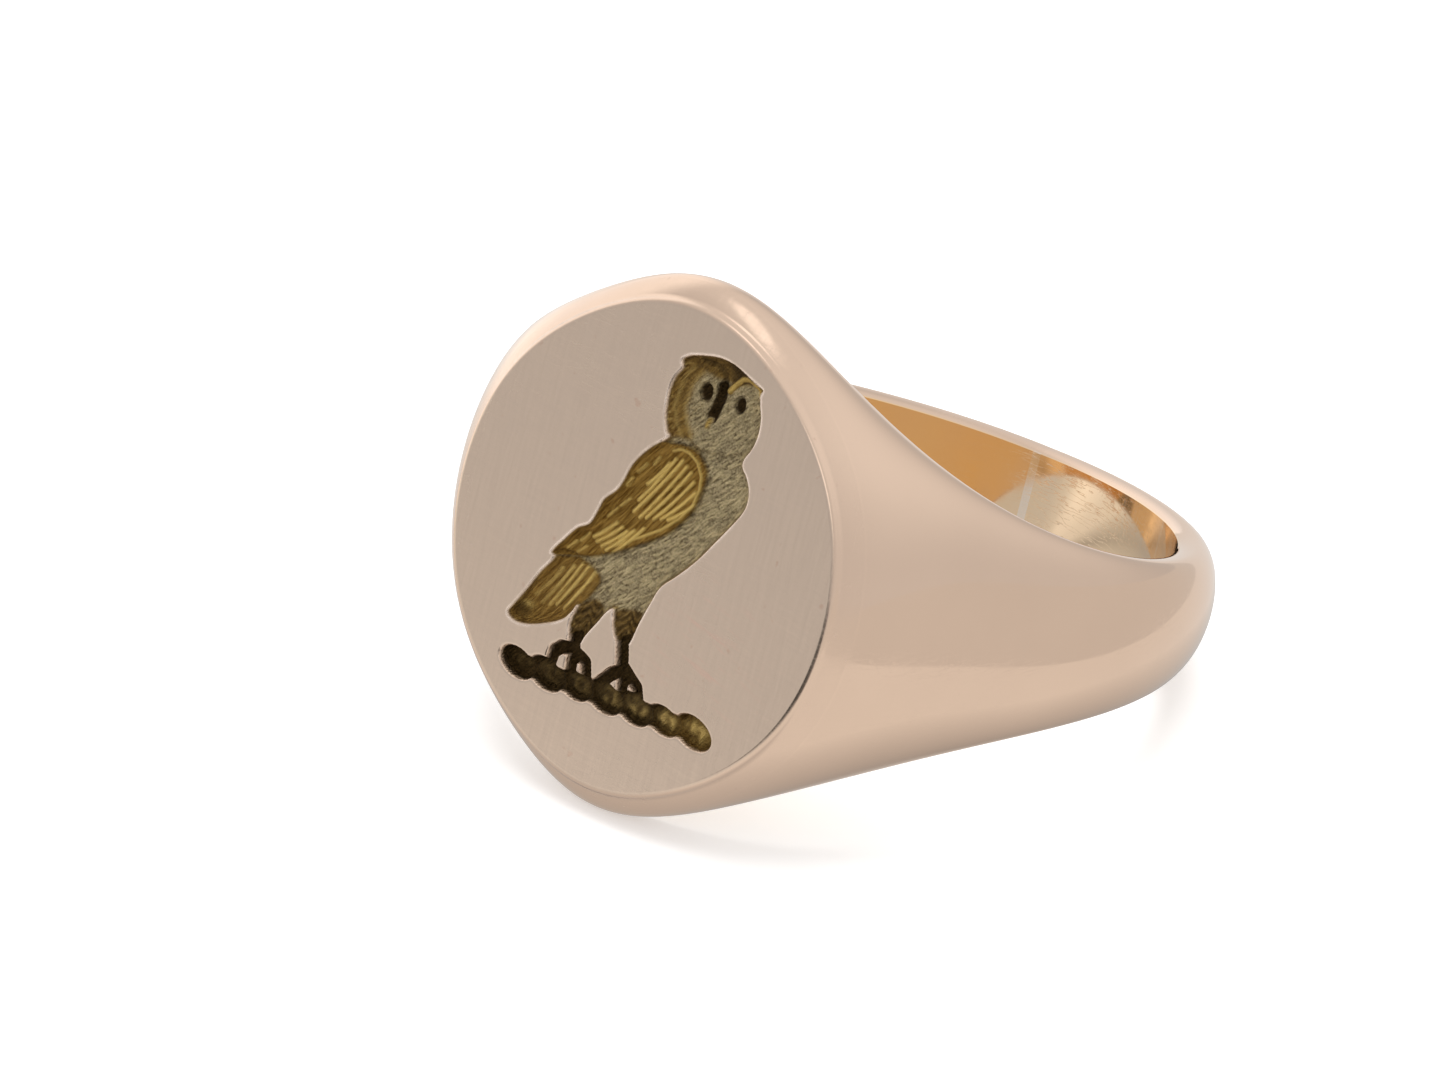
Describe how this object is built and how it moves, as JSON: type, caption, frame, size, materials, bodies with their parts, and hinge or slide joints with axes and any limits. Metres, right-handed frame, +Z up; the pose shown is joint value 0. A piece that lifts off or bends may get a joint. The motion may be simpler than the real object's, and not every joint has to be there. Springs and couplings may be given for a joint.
{
  "type": "signet ring",
  "caption": "Polished oval signet ring in rose gold, lying on its side, with an engraved standing owl on a twisted torse.",
  "frame": {"origin": "centre of the resting footprint's bounding box, on the surface that the ring lies on", "axes": "+Z up as the ring lies on its side; +Y from the engraved head towards the back of the shank; +X across the face, to the right when the face is looked at"},
  "size_m": [0.0208, 0.022, 0.0146],
  "materials": {
    "rose_gold": "polished 9 carat rose gold",
    "hard_solder": "polished gold solder, slightly paler and yellower"
  },
  "bodies": {
    "root": {"signet_table": "rose_gold", "ring_body": "rose_gold", "sizing_piece": "rose_gold", "table_solder": "hard_solder", "sizing_solder_back": "hard_solder", "sizing_solder_side": "hard_solder"}
  },
  "joints": []
}
